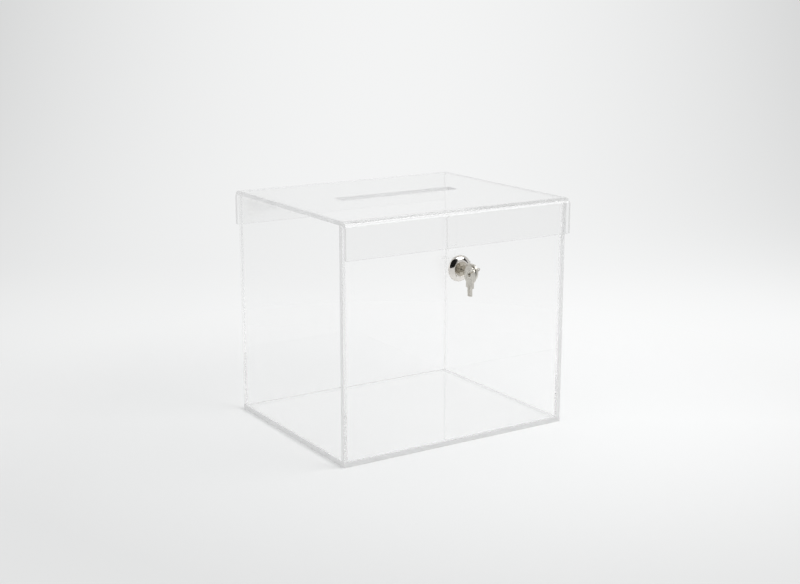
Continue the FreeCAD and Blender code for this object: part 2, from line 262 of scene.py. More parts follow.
class LockSettings(bpy.types.PropertyGroup):
    """Sizes and colours of the lock and its keys."""

    face_radius: bpy.props.FloatProperty(
        name="Face radius", description="Radius of the flat ring at the front of the head",
        default=7.8 * MM, precision=4, unit="LENGTH",
    )
    rim: bpy.props.FloatProperty(
        name="Rim", description="Straight part of the head next to the wall",
        default=0.9 * MM, precision=4, unit="LENGTH",
    )
    bulge: bpy.props.FloatProperty(
        name="Bulge", description="How far the head's slope swells between rim and face",
        default=0.5 * MM, precision=4, unit="LENGTH",
    )
    barrel_radius: bpy.props.FloatProperty(
        name="Barrel radius", description="Radius of the threaded barrel behind the head",
        default=6.0 * MM, precision=4, unit="LENGTH",
    )
    barrel_flat: bpy.props.FloatProperty(
        name="Barrel flat",
        description="Distance from the lock's axis to each flat of the barrel",
        default=5.3 * MM, precision=4, unit="LENGTH",
    )
    bore_radius: bpy.props.FloatProperty(
        name="Bore radius", description="Radius of the bore that the plug turns in",
        default=4.35 * MM, precision=5, unit="LENGTH",
    )
    seat_radius: bpy.props.FloatProperty(
        name="Seat radius", description="Radius of the recess for the plug's head",
        default=6.75 * MM, precision=5, unit="LENGTH",
    )
    seat_depth: bpy.props.FloatProperty(
        name="Seat depth", description="Depth of the recess for the plug's head",
        default=0.65 * MM, precision=5, unit="LENGTH",
    )
    stop_radius: bpy.props.FloatProperty(
        name="Stop seat radius",
        description="Radius of the seat for the stop washer in the barrel's end",
        default=4.85 * MM, precision=5, unit="LENGTH",
    )
    stop_depth: bpy.props.FloatProperty(
        name="Stop seat depth", description="Depth of the seat for the stop washer",
        default=0.8 * MM, precision=5, unit="LENGTH",
    )
    hole_room: bpy.props.FloatProperty(
        name="Hole room", description="Space between the barrel and its hole in the wall",
        default=0.15 * MM, precision=5, unit="LENGTH",
    )
    thread_pitch: bpy.props.FloatProperty(
        name="Thread pitch", description="Advance of the barrel's thread for each turn",
        default=1.0 * MM, precision=4, unit="LENGTH",
    )
    thread_depth: bpy.props.FloatProperty(
        name="Thread depth", description="Depth of the barrel's thread",
        default=0.3 * MM, precision=5, unit="LENGTH",
    )
    nickel_colour: bpy.props.FloatVectorProperty(
        name="Nickel colour",
        description="Colour of the polished nickel on the head and the plug",
        subtype="COLOR", size=4, default=(0.79, 0.755, 0.69, 1.0),
    )
    plug_colour: bpy.props.FloatVectorProperty(
        name="Plug colour", description="Colour of the satin nickel on the plug's face",
        subtype="COLOR", size=4, default=(0.60, 0.555, 0.48, 1.0),
    )
    key_colour: bpy.props.FloatVectorProperty(
        name="Key colour", description="Colour of the brushed plating on the keys",
        subtype="COLOR", size=4, default=(0.70, 0.675, 0.62, 1.0),
    )
    zinc_colour: bpy.props.FloatVectorProperty(
        name="Zinc colour", description="Colour of the plated steel behind the wall",
        subtype="COLOR", size=4, default=(0.50, 0.505, 0.515, 1.0),
    )
    brass_colour: bpy.props.FloatVectorProperty(
        name="Brass colour", description="Colour of the stamped wafers",
        subtype="COLOR", size=4, default=(0.72, 0.55, 0.28, 1.0),
    )
    spring_colour: bpy.props.FloatVectorProperty(
        name="Spring colour", description="Colour of the bright spring wire",
        subtype="COLOR", size=4, default=(0.60, 0.60, 0.62, 1.0),
    )


class StageSettings(bpy.types.PropertyGroup):
    """Camera, light and floor."""

    camera_place: bpy.props.FloatVectorProperty(
        name="Camera place", description="Where the camera stands",
        subtype="TRANSLATION", size=3, unit="LENGTH", default=(-0.7040, -1.1091, 0.4370),
    )
    camera_turn: bpy.props.FloatProperty(
        name="Camera turn", description="Turn of the camera about the vertical",
        default=math.radians(-32.42), unit="ROTATION",
    )
    camera_tilt: bpy.props.FloatProperty(
        name="Camera tilt", description="Tilt of the camera below the horizon",
        default=math.radians(13.21), unit="ROTATION",
    )
    lens: bpy.props.FloatProperty(
        name="Lens", description="Focal length on a 36 mm sensor",
        default=60.86, unit="CAMERA",
    )
    floor_colour: bpy.props.FloatVectorProperty(
        name="Floor colour", description="Colour of the paper beside the box",
        subtype="COLOR", size=4, default=(0.895, 0.90, 0.90, 1.0),
    )
    # Painted light: brightens the paper's colour towards the right
    painted_light_lean: bpy.props.FloatProperty(
        name="Floor lean",
        description="How much the paper brightens to the right, for each metre",
        default=0.12,
    )
    # Painted shade: greys the paper's colour towards both sides
    painted_side_shade: bpy.props.FloatProperty(
        name="Side falloff", description="How much the paper greys towards both sides",
        default=0.27,
    )
    # Painted shade: greys the paper's colour towards the front edge
    painted_front_shade: bpy.props.FloatProperty(
        name="Front falloff", description="How much the paper greys towards the front edge",
        default=0.13,
    )
    # Painted light: a pool of brighter colour on the paper just behind the box
    painted_light_pool: bpy.props.FloatProperty(
        name="Floor pool",
        description="How much the paper brightens in a band just behind the box",
        default=0.035,
    )
    room_strength: bpy.props.FloatProperty(
        name="Room light", description="Strength of the even light from all round",
        default=0.68, min=0.0,
    )
    room_through_sheet: bpy.props.FloatProperty(
        name="Room through the sheet",
        description="Strength of the room's light as it shows through the clear sheet",
        default=0.835, min=0.0,
    )
    softbox_power: bpy.props.FloatProperty(
        name="Softbox power", description="Power of the soft light at the right",
        default=25.0, min=0.0, unit="POWER",
    )
    fill_power: bpy.props.FloatProperty(
        name="Fill power", description="Power of the weak soft light at the left",
        default=9.0, min=0.0, unit="POWER",
    )


class DonationBoxSettings(bpy.types.PropertyGroup):
    """All settings of the donation box."""

    sheet: bpy.props.PointerProperty(type=SheetSettings)
    lock: bpy.props.PointerProperty(type=LockSettings)
    stage: bpy.props.PointerProperty(type=StageSettings)


def settings():
    return bpy.context.scene.donation_box


# Meshes


def plain_mesh(bm, name):
    mesh = bpy.data.meshes.new(name)
    bm.to_mesh(mesh)
    bm.free()
    return mesh


def finished_mesh(bm, name, sharp=SOFT_TURN):
    """Mesh with smooth faces, and sharp edges where the faces turn by more than this angle."""
    bmesh.ops.recalc_face_normals(bm, faces=bm.faces)
    limit = math.radians(sharp)
    for face in bm.faces:
        face.smooth = True
    for edge in bm.edges:
        edge.smooth = edge.calc_face_angle(0.0) <= limit
    return plain_mesh(bm, name)


def even_normals(piece):
    """Keeps broad faces flat beside their rounded edges."""
    modifier = piece.modifiers.new("Even normals", "WEIGHTED_NORMAL")
    modifier.keep_sharp = True
    modifier.weight = 100


def stand_in_for(mesh, name, node, material):
    """New piece in place of a node, on the node's body."""
    piece = bpy.data.objects.new(name, mesh)
    bpy.context.scene.collection.objects.link(piece)
    mesh.materials.append(material)
    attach(piece, BODY_OF[node])
    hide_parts(node)
    return piece


def dress(node, material):
    """Finish for a node that keeps its own shape, with its edges broken."""
    piece = frame["nodes"][node]
    piece.material_slots[0].material = material
    weld = piece.modifiers.new("Weld", "WELD")
    weld.merge_threshold = WELD_REACH
    bevel = piece.modifiers.new("Broken edges", "BEVEL")
    bevel.width = EDGE_ROUND[node]
    bevel.segments = ARRIS_STEPS
    bevel.limit_method = "ANGLE"
    bevel.angle_limit = math.radians(SOFT_TURN)
    bevel.use_clamp_overlap = True
    even_normals(piece)


def carved(mesh, tool, operation="DIFFERENCE"):
    """Mesh with the tool's mesh cut from it, or kept in common with it."""
    subject = bpy.data.objects.new("subject", mesh)
    cutter = bpy.data.objects.new("cutter", tool)
    for item in (subject, cutter):
        bpy.context.scene.collection.objects.link(item)
    modifier = subject.modifiers.new("Carve", "BOOLEAN")
    modifier.operation = operation
    modifier.solver = "EXACT"
    modifier.object = cutter
    bpy.context.view_layer.update()
    graph = bpy.context.evaluated_depsgraph_get()
    result = bpy.data.meshes.new_from_object(subject.evaluated_get(graph))
    for item in (subject, cutter):
        bpy.data.objects.remove(item)
    for used in (mesh, tool):
        bpy.data.meshes.remove(used)
    return result


def bm_of(mesh):
    """Editable copy of a mesh, which is then dropped."""
    bm = bmesh.new()
    bm.from_mesh(mesh)
    bpy.data.meshes.remove(mesh)
    bmesh.ops.remove_doubles(bm, verts=bm.verts, dist=JOIN_REACH)
    return bm


def round_arrises(bm, width):
    """Rounds the sharp edges of a mesh, apart from those that end on a bond."""
    limit = math.radians(ARRIS_TURN)
    edges = []
    for edge in bm.edges:
        free = all(face.material_index == CLEAR for face in edge.link_faces)
        if free and edge.calc_face_angle(0.0) > limit:
            edges.append(edge)
    bmesh.ops.bevel(
        bm, geom=edges, offset=width, segments=ARRIS_STEPS, profile=0.5, affect="EDGES",
        clamp_overlap=True,
    )


def block_bm(low, high):
    """Rectangular block between two corners."""
    bm = bmesh.new()
    bmesh.ops.create_cube(bm, size=1.0)
    bmesh.ops.scale(bm, vec=high - low, verts=bm.verts)
    bmesh.ops.translate(bm, vec=(low + high) / 2, verts=bm.verts)
    return bm


def prism_bm(outline, offset):
    """Straight solid between an outline and its copy at an offset."""
    bm = bmesh.new()
    face = bm.faces.new([bm.verts.new(point) for point in outline])
    swept = bmesh.ops.extrude_face_region(bm, geom=[face])
    moved = [item for item in swept["geom"] if isinstance(item, bmesh.types.BMVert)]
    bmesh.ops.translate(bm, vec=offset, verts=moved)
    bmesh.ops.recalc_face_normals(bm, faces=bm.faces)
    return bm


def join_rings(bm, first, second):
    """Faces between two rings with the same number of points."""
    count = len(first)
    for step in range(count):
        after = (step + 1) % count
        bm.faces.new((first[step], first[after], second[after], second[step]))


def at_lock(radius, along, angle):
    """Point about the lock's axis, by its distance behind the wall's front face."""
    return Vector((radius * math.cos(angle), FRONT_Y + along, LOCK_Z + radius * math.sin(angle)))


def turned_bm(profile, steps, radius_at=None):
    """Solid turned about the lock's axis from a closed profile of (along, radius)."""
    bm = bmesh.new()
    rings = []
    for along, radius in profile:
        ring = []
        for step in range(steps):
            angle = 2 * math.pi * step / steps
            here = radius if radius_at is None else radius_at(radius, along, angle)
            ring.append(bm.verts.new(at_lock(here, along, angle)))
        rings.append(ring)
    for first, second in zip(rings, rings[1:] + rings[:1]):
        join_rings(bm, first, second)
    bmesh.ops.recalc_face_normals(bm, faces=bm.faces)
    return bm


def arc_points(centre, radius, start, end, steps):
    """Points on an arc as pairs, with angles in degrees."""
    points = []
    for step in range(steps + 1):
        angle = math.radians(start + (end - start) * step / steps)
        points.append((centre[0] + radius * math.cos(angle), centre[1] + radius * math.sin(angle)))
    return points


# Shader groups and materials


def add_node(tree, kind, **values):
    node = tree.nodes.new(kind)
    for key, value in values.items():
        setattr(node, key, value)
    return node


def feed(tree, node, values):
    """Links inputs of a node to other nodes' sockets, or sets them to plain values."""
    for name, value in values.items():
        if isinstance(value, bpy.types.NodeSocket):
            tree.links.new(value, node.inputs[name])
        else:
            node.inputs[name].default_value = value


def math_node(tree, operation, first, *others, clamp=False):
    """Sum, product or the like of sockets and numbers, taken one after another."""
    for other in others:
        node = add_node(tree, "ShaderNodeMath", operation=operation, use_clamp=clamp)
        feed(tree, node, {0: first, 1: other})
        first = node.outputs[0]
    return first


def map_range(tree, value, low, high, to_low=0.0, to_high=1.0, kind="LINEAR"):
    """Value carried over from one range to another."""
    node = add_node(tree, "ShaderNodeMapRange", interpolation_type=kind)
    ends = {"From Min": low, "From Max": high, "To Min": to_low, "To Max": to_high}
    feed(tree, node, {"Value": value, **ends})
    return node.outputs["Result"]


def fade(tree, value, *ends):
    """Value carried over from one range to another, with soft ends."""
    return map_range(tree, value, *ends, kind="SMOOTHSTEP")


def mix_colour(tree, factor, first, second):
    """Colour between two colours or sockets."""
    node = add_node(tree, "ShaderNodeMix", data_type="RGBA")
    feed(tree, node, {0: factor, 6: first, 7: second})
    return node.outputs[2]


def noise(tree, vector, scale, detail=2.0, roughness=0.5):
    node = add_node(tree, "ShaderNodeTexNoise")
    feed(tree, node, {"Vector": vector, "Scale": scale, "Detail": detail, "Roughness": roughness})
    return node.outputs["Fac"]


def bump(tree, height, strength):
    node = add_node(tree, "ShaderNodeBump")
    feed(tree, node, {"Strength": strength, "Distance": LINE_DISTANCE, "Height": height})
    return node.outputs["Normal"]


def new_group(name, inputs, outputs):
    """Shader group with named inputs, number outputs, its input sockets and its end node."""
    group = bpy.data.node_groups.new(name, "ShaderNodeTree")
    for label, value in inputs.items():
        kind = "NodeSocketVector" if isinstance(value, tuple) else "NodeSocketFloat"
        socket = group.interface.new_socket(name=label, in_out="INPUT", socket_type=kind)
        socket.default_value = value
    for label in outputs:
        group.interface.new_socket(name=label, in_out="OUTPUT", socket_type="NodeSocketFloat")
    start = add_node(group, "NodeGroupInput").outputs
    end = add_node(group, "NodeGroupOutput")
    return group, start, end


def build_handling(name):
    """Cloudy film and small rubbed spots, as left by hands and a cloth."""
    inputs = {"Scale": 40.0, "Spread": 0.5}
    group, start, end = new_group(name, inputs, ("Film", "Specks"))
    film_full = 0.85
    speck_range = (0.62, 0.78)
    speck_fineness = 22.0
    place = add_node(group, "ShaderNodeTexCoord").outputs["Object"]
    broad = noise(group, place, start["Scale"], 4.0, 0.6)
    threshold = math_node(group, "SUBTRACT", 1.0, start["Spread"])
    film = fade(group, broad, threshold, film_full)
    fine = noise(group, place, math_node(group, "MULTIPLY", start["Scale"], speck_fineness))
    feed(group, end, {"Film": film, "Specks": fade(group, fine, *speck_range)})
    return group


def build_lines(name):
    """Fine parallel lines, as a saw, a die or a brush leaves them, stretched by a vector."""
    inputs = {"Stretch": (1.0, 1.0, 0.05), "Scale": 2500.0}
    group, start, end = new_group(name, inputs, ("Lines",))
    line_range = (0.3, 0.7)
    place = add_node(group, "ShaderNodeTexCoord").outputs["Object"]
    stretched = add_node(group, "ShaderNodeVectorMath", operation="MULTIPLY")
    feed(group, stretched, {0: place, 1: start["Stretch"]})
    lines = noise(group, stretched.outputs[0], start["Scale"], 3.0, 0.65)
    feed(group, end, {"Lines": map_range(group, lines, *line_range)})
    return group


def place_group(tree, name, build, **values):
    """Outputs of a group placed in a material with its own values, and built the first time."""
    node = add_node(tree, "ShaderNodeGroup")
    node.node_tree = bpy.data.node_groups.get(name) or build(name)
    feed(tree, node, values)
    return node.outputs


def made_once(build):
    """Builder of materials that gives back the one of this name where it is made already."""

    @functools.wraps(build)
    def known_or_new(name):
        return bpy.data.materials.get(name) or build(name)

    return known_or_new


def show(tree, surface):
    """Links a surface to the output of a material."""
    tree.links.new(surface, tree.get_output_node("ALL").inputs["Surface"])


def new_material(name):
    """Empty material with its shader linked to its output."""
    material = bpy.data.materials.new(name)
    material.use_nodes = True
    tree = material.node_tree
    tree.nodes.clear()
    shader = add_node(tree, "ShaderNodeBsdfPrincipled")
    add_node(tree, "ShaderNodeOutputMaterial")
    show(tree, shader.outputs["BSDF"])
    return material, tree, shader


def mix_surfaces(tree, share, first, second):
    """Surface between two others."""
    node = add_node(tree, "ShaderNodeMixShader")
    feed(tree, node, {0: share, 1: first, 2: second})
    return node.outputs["Shader"]


@made_once
def clear_sheet(name):
    """Clear polished sheet with a faint handling film."""
    setting, ior = CLEAR_SHEETS[name]
    tint = getattr(settings().sheet, setting)
    material, tree, shader = new_material(name)
    film = place_group(tree, "Handling film", build_handling, Scale=14.0, Spread=0.45)["Film"]
    filmed = [channel - FILM_SHADE for channel in tint[:3]] + [1.0]
    rough = math_node(tree, "MULTIPLY", film, FILM_ROUGHNESS)
    colour = mix_colour(tree, film, tint[:], filmed)
    feed(tree, shader, {"Base Color": colour, "Roughness": rough, "IOR": ior})
    shader.inputs["Transmission Weight"].default_value = 1.0
    clear = add_node(tree, "ShaderNodeBsdfTransparent")
    clear.inputs["Color"].default_value = PASSING_TINT
    path = add_node(tree, "ShaderNodeLightPath").outputs
    seen = shader.outputs["BSDF"]
    for ray in ("Is Diffuse Ray", "Is Shadow Ray"):
        seen = mix_surfaces(tree, path[ray], seen, clear.outputs["BSDF"])
    show(tree, seen)
    return material


@made_once
def sawn_edge(name):
    """Satin saw-cut edge of a sheet with fine lines, fainter when seen from inside the sheet."""
    # The finishes differ in colour and cover as painted light and shade for each set of edges
    setting, stretch, least_cover, inside_share = SAWN_EDGES[name]
    colour = getattr(settings().sheet, setting)
    material, tree, shader = new_material(name)
    saw = place_group(tree, "Fine lines", build_lines, Stretch=stretch, Scale=4000.0)["Lines"]
    shade = [channel * SAW_SHADE for channel in colour[:3]] + [1.0]
    backfacing = add_node(tree, "ShaderNodeNewGeometry").outputs["Backfacing"]
    share = map_range(tree, backfacing, 0.0, 1.0, 1.0, inside_share)
    cover = map_range(tree, saw, 0.0, 1.0, least_cover, least_cover + SAW_COVER_SPREAD)
    finish = {
        "Base Color": mix_colour(tree, saw, colour[:], shade),
        "Alpha": math_node(tree, "MULTIPLY", cover, share),
        "Roughness": map_range(tree, saw, 0.0, 1.0, *SAW_ROUGHNESS),
        "Normal": bump(tree, saw, SAW_DEPTH),
    }
    feed(tree, shader, finish)
    return material


@made_once
def bonded_joint(name):
    """Slightly hazy bond between two sheets, with a few small bubbles."""
    material, tree, shader = new_material(name)
    film = place_group(tree, "Handling film", build_handling, Scale=60.0, Spread=0.4)
    haze = map_range(tree, film["Specks"], 0.0, 1.0, *BOND_HAZE)
    feed(tree, shader, {"Base Color": BOND_COLOUR, "Alpha": haze, "Roughness": 0.5})
    return material


@made_once
def metal(name):
    """Plated metal with rubbed film, fine lines and a slightly duller tone where it is handled."""
    setting, rough, rough_spread, stretch, line_depth, dull = METALS[name]
    colour = getattr(settings().lock, setting)
    material, tree, shader = new_material(name)
    film = place_group(tree, "Handling film", build_handling, Scale=220.0, Spread=0.55)
    lines = place_group(tree, "Fine lines", build_lines, Stretch=stretch, Scale=9000.0)["Lines"]
    shade = [channel * (1 - dull * 3) for channel in colour[:3]] + [1.0]
    worn = mix_colour(tree, film["Film"], colour[:], shade)
    varied = math_node(tree, "ADD", film["Film"], lines)
    height = math_node(tree, "ADD", lines, film["Specks"])
    finish = {
        "Base Color": mix_colour(tree, math_node(tree, "MULTIPLY", lines, dull), worn, shade),
        "Roughness": map_range(tree, varied, 0.0, 2.0, rough, rough + rough_spread),
        "Normal": bump(tree, height, line_depth),
    }
    feed(tree, shader, finish)
    shader.inputs["Metallic"].default_value = 1.0
    return material


# Pieces


def inside(point, low, high):
    return all(low[axis] < point[axis] < high[axis] for axis in range(3))


def cut_at(bm, axis, level):
    """Splits the faces of a mesh at one level."""
    normal = Vector((0.0, 0.0, 0.0))
    normal[axis] = 1.0
    place = normal * level
    geometry = list(bm.verts) + list(bm.edges) + list(bm.faces)
    bmesh.ops.bisect_plane(bm, geom=geometry, dist=WELD_REACH, plane_co=place, plane_no=normal)


def mark_bonds(bm, node):
    """Splits a panel where other panels meet it, and marks the faces that are bonded to them."""
    boxes = [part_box(other) for other in PANELS if other != node]
    for low, high in boxes:
        for axis in range(3):
            for level in (low[axis], high[axis]):
                cut_at(bm, axis, level)
    for face in bm.faces:
        face.normal_update()
        probe = face.calc_center_median() + face.normal * BOND_REACH
        bonded = any(inside(probe, low, high) for low, high in boxes)
        face.material_index = BONDED if bonded else CLEAR
    bmesh.ops.dissolve_limit(
        bm, angle_limit=FLAT_TURN, verts=bm.verts, edges=bm.edges, delimit={"MATERIAL"}
    )


def mark_narrow(bm, broad):
    """Marks the free cut edges of a panel whose broad faces look along one direction."""
    for face in bm.faces:
        face.normal_update()
        if face.material_index == CLEAR and abs(face.normal.dot(broad)) < LOOKS_ALONG:
            face.material_index = SAWN


def flat_sheet(node, name, broad, edge, hole=None):
    """One flat panel with rounded arrises, cut to its node's size."""
    look = settings().sheet
    low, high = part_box(node)
    if node == "base_plate":
        low = low + Vector((0, 0, look.joint_air))
    mesh = plain_mesh(block_bm(low, high), name)
    if hole is not None:
        mesh = carved(mesh, hole)
    bm = bm_of(mesh)
    mark_bonds(bm, node)
    round_arrises(bm, look.edge_round)
    mark_narrow(bm, Vector(broad))
    mesh = finished_mesh(bm, name)
    piece = stand_in_for(mesh, name, node, clear_sheet("clear_sheet"))
    mesh.materials.append(bonded_joint("bonded_joint"))
    mesh.materials.append(edge)
    even_normals(piece)


def barrel_hole():
    """Solid that cuts the flatted hole for the lock's barrel."""
    look = settings().lock
    radius = look.barrel_radius + look.hole_room
    flat = look.barrel_flat + look.hole_room
    lead = 1 * MM
    length = 8 * MM
    outline = []
    for step in range(HOLE_STEPS):
        angle = 2 * math.pi * step / HOLE_STEPS
        point = at_lock(radius, -lead, angle)
        point.x = max(-flat, min(flat, point.x))
        outline.append(point)
    return plain_mesh(prism_bm(outline, Vector((0, length, 0))), "hole")


class DONATIONBOX_OT_panels(bpy.types.Operator):
    """Makes the base plate and the four walls as separate clear sheets"""

    bl_idname = "donation_box.panels"
    bl_label = "Panels"

    def execute(self, context):
        upright = sawn_edge("sawn_edge_upright")
        # The base plate's edge finish carries painted shade
        level = sawn_edge("sawn_edge_level")
        flat_sheet("base_plate", "base_sheet", (0, 0, 1), level)
        flat_sheet("front_panel", "front_sheet", (0, 1, 0), upright, barrel_hole())
        flat_sheet("rear_panel", "rear_sheet", (0, 1, 0), upright)
        flat_sheet("left_panel", "left_sheet", (1, 0, 0), upright)
        flat_sheet("right_panel", "right_sheet", (1, 0, 0), upright)
        return {"FINISHED"}


def lid_outline(air, steps):
    """Section of the bent lid as (y, z) points, once round."""
    thickness = LID_HIGH.z - WALL_TOP
    radius = FRONT_Y - LID_LOW.y
    bend = (FRONT_Y, LID_HIGH.z - radius)
    faces = []
    for reach in (radius - air, radius - thickness + air):
        front = arc_points(bend, reach, 180, 90, steps)
        front.insert(0, (front[0][0], LID_LOW.z + air))
        faces.append(front + [(-y, z) for y, z in reversed(front)])
    outer, inner = faces
    return outer + inner[::-1]


def slot_cutter(look):
    """Solid that cuts the paper slot with its rounded corners."""
    half_x = look.slot_length / 2 - look.slot_corner
    half_y = look.slot_width / 2 - look.slot_corner
    over = 2 * MM
    outline = []
    for start, sign_x, sign_y in ((0, 1, 1), (90, -1, 1), (180, -1, -1), (270, 1, -1)):
        corner = (sign_x * half_x, look.slot_setback + sign_y * half_y)
        arc = arc_points(corner, look.slot_corner, start, start + 90, SLOT_CORNER_STEPS)
        outline += [Vector((x, y, WALL_TOP - over)) for x, y in arc]
    height = LID_HIGH.z - WALL_TOP + 2 * over
    return plain_mesh(prism_bm(outline, Vector((0, 0, height))), "slot")


def mark_cut_edges(mesh, look):
    """Gives the slot's walls, both ends and the flanges' bottoms the finish of a cut edge."""
    middle = Vector((0.0, look.slot_setback))
    half = Vector((look.slot_length / 2 + MM, look.slot_width / 2 + MM))
    for face in mesh.polygons:
        away = face.center.xy - middle
        upright = abs(face.normal.z) < LOOKS_UP
        over_slot = abs(away.x) < half.x and abs(away.y) < half.y
        in_slot = upright and over_slot and face.center.z > WALL_TOP
        at_bottom = not upright and face.center.z < LID_LOW.z + MM
        at_end = abs(face.normal.x) > LOOKS_ALONG
        face.material_index = LID_SAWN if at_end or at_bottom or in_slot else CLEAR


class DONATIONBOX_OT_lid(bpy.types.Operator):
    """Makes the bent lid with its paper slot, and dresses the catch under it"""

    bl_idname = "donation_box.lid"
    bl_label = "Lid and catch"

    def execute(self, context):
        look = settings().sheet
        start = LID_LOW.x + look.joint_air
        end = LID_HIGH.x - look.joint_air
        section = lid_outline(look.joint_air, look.bend_steps)
        outline = [Vector((start, y, z)) for y, z in section]
        mesh = plain_mesh(prism_bm(outline, Vector((end - start, 0, 0))), "bent_lid")
        bm = bm_of(carved(mesh, slot_cutter(look)))
        round_arrises(bm, look.edge_round)
        mesh = finished_mesh(bm, "bent_lid")
        material = clear_sheet("clear_sheet_lid")
        piece = stand_in_for(mesh, "bent_lid", "lid", material)
        mesh.materials.append(sawn_edge("sawn_edge_lid"))
        mark_cut_edges(mesh, look)
        even_normals(piece)
        dress("lid_catch", clear_sheet("clear_sheet_catch"))
        return {"FINISHED"}


def head_profile(look):
    """Slope of the lock's head from its face to its rim, as (along, radius) points."""
    rim = Vector((-look.rim, HEAD_RADIUS))
    face = Vector((-HEAD_DEPTH, look.face_radius))
    chord = face - rim
    half = chord.length / 2
    radius = (half * half + look.bulge * look.bulge) / (2 * look.bulge)
    outward = Vector((-abs(chord.y), abs(chord.x))).normalized()
    centre = (rim + face) / 2 - outward * (radius - look.bulge)
    start = math.atan2(face.y - centre.y, face.x - centre.x)
    end = math.atan2(rim.y - centre.y, rim.x - centre.x)
    return arc_points(centre, radius, math.degrees(start), math.degrees(end), HEAD_STEPS)


def housing_profile(look):
    """Closed profile of the housing: face, head, barrel and bore."""
    seat_end = look.seat_depth - HEAD_DEPTH
    barrel = look.barrel_radius
    seat_break = 0.15 * MM
    face_break = 0.25 * MM
    face_round = (0.03 * MM, 0.08 * MM)
    rim_round = (0.1 * MM, 0.02 * MM)
    rim_start = 0.3 * MM
    back_break = 0.2 * MM
    wall_air = 0.02 * MM
    thread_lead = 0.1 * MM
    thread_end = 0.2 * MM
    points = [
        (seat_end, look.seat_radius),
        (-HEAD_DEPTH + seat_break, look.seat_radius),
        (-HEAD_DEPTH, look.seat_radius + seat_break),
        (-HEAD_DEPTH, look.face_radius - face_break),
        (-HEAD_DEPTH + face_round[0], look.face_radius - face_round[1]),
        *head_profile(look)[1:-1],
        (-look.rim + rim_round[0], HEAD_RADIUS - rim_round[1]),
        (-look.rim + rim_start, HEAD_RADIUS),
        (-back_break, HEAD_RADIUS),
        (-wall_air, HEAD_RADIUS - back_break),
        (-wall_air, barrel),
        (WALL - thread_lead, barrel),
    ]
    step = look.thread_pitch / THREAD_STEPS
    count = int((BARREL_END - WALL - thread_end) / step) + 1
    points += [(WALL + turn * step, barrel) for turn in range(count)]
    stop_start = BARREL_END - look.stop_depth
    return points + [
        (BARREL_END, barrel - look.thread_depth),
        (BARREL_END, look.stop_radius),
        (stop_start, look.stop_radius),
        (stop_start, look.bore_radius),
        (seat_end, look.bore_radius),
    ]


def stop_room():
    """Solid that opens the barrel's end for the tab of the stop washer."""
    look = settings().lock
    start = BARREL_END - look.stop_depth
    reach = 1.4 * look.barrel_radius
    over = 0.2 * MM
    outline = [at_lock(0, start, 0)]
    for step in range(STOP_STEPS + 1):
        angle = math.radians(STOP_START + step * STOP_SWEEP / STOP_STEPS)
        outline.append(at_lock(reach, start, angle))
    return plain_mesh(prism_bm(outline, Vector((0, look.stop_depth + over, 0))), "room")


class DONATIONBOX_OT_lock_housing(bpy.types.Operator):
    """Turns the lock's domed head and its flatted, threaded barrel"""

    bl_idname = "donation_box.lock_housing"
    bl_label = "Lock housing"

    def execute(self, context):
        look = settings().lock
        flat = look.barrel_flat
        thread_end = BARREL_END - 0.15 * MM

        def radius_at(radius, along, angle):
            """Radius of the barrel where its thread and its flats are cut."""
            if along < 0 or radius < flat:
                return radius
            if WALL <= along < thread_end:
                turn = (along / look.thread_pitch - angle / (2 * math.pi)) % 1.0
                radius -= look.thread_depth * (1 - abs(2 * turn - 1))
            if abs(math.cos(angle)) * radius > flat:
                radius = flat / abs(math.cos(angle))
            return radius

        bm = turned_bm(housing_profile(look), HOUSING_STEPS, radius_at)
        bm = bm_of(carved(plain_mesh(bm, "housing"), stop_room()))
        name = "lock_head_and_barrel"
        mesh = finished_mesh(bm, name, sharp=32.0)
        nickel = metal("polished_nickel")
        piece = stand_in_for(mesh, name, "lock_housing", nickel)
        even_normals(piece)
        return {"FINISHED"}


class DONATIONBOX_OT_lock_clamp(bpy.types.Operator):
    """Makes the chamfered nut behind the wall and dresses its washer"""

    bl_idname = "donation_box.lock_clamp"
    bl_label = "Nut and washer"

    def execute(self, context):
        low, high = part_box("lock_nut")
        start = low.y - FRONT_Y
        end = high.y - FRONT_Y
        corner = (high.z - low.z) / 2
        outline = [at_lock(corner, start, math.radians(30 + 60 * side)) for side in range(6)]
        hexagon = plain_mesh(prism_bm(outline, Vector((0, end - start, 0))), "hexagon")
        bore = settings().lock.barrel_radius + 0.05 * MM
        inner = corner - 1.3 * MM
        outer = corner + 0.2 * MM
        cut = 0.6 * MM
        over = 0.1 * MM
        profile = [
            (start - over, bore),
            (start - over, inner),
            (start + cut, outer),
            (end - cut, outer),
            (end + over, inner),
            (end + over, bore),
        ]
        cone = plain_mesh(turned_bm(profile, NUT_STEPS), "cone")
        bm = bm_of(carved(hexagon, cone, "INTERSECT"))
        mesh = finished_mesh(bm, "hexagon_nut", sharp=20.0)
        nickel = metal("polished_nickel")
        stand_in_for(mesh, "hexagon_nut", "lock_nut", nickel)
        dress("lock_washer", metal("zinc_plate"))
        return {"FINISHED"}


def coil(bm, foot, radius, wire, height, turns):
    """Close-ended coil of round wire standing on a foot point."""
    steps = turns * COIL_STEPS
    closed_share = 0.15
    rings = []
    for step in range(steps + 1):
        share = step / steps
        angle = 2 * math.pi * turns * share
        eased = share * (1 + 2 * closed_share) - closed_share
        rise = wire + (height - 2 * wire) * min(1.0, max(0.0, eased))
        centre = foot + Vector((radius * math.cos(angle), radius * math.sin(angle), rise))
        out = Vector((math.cos(angle), math.sin(angle), 0))
        ring = []
        for side in range(WIRE_SIDES):
            turn = 2 * math.pi * side / WIRE_SIDES
            away = out * math.cos(turn) + Vector((0, 0, math.sin(turn)))
            ring.append(bm.verts.new(centre + away * wire))
        rings.append(ring)
    for first, second in zip(rings, rings[1:]):
        join_rings(bm, first, second)
    bm.faces.new(rings[0])
    bm.faces.new(rings[-1])


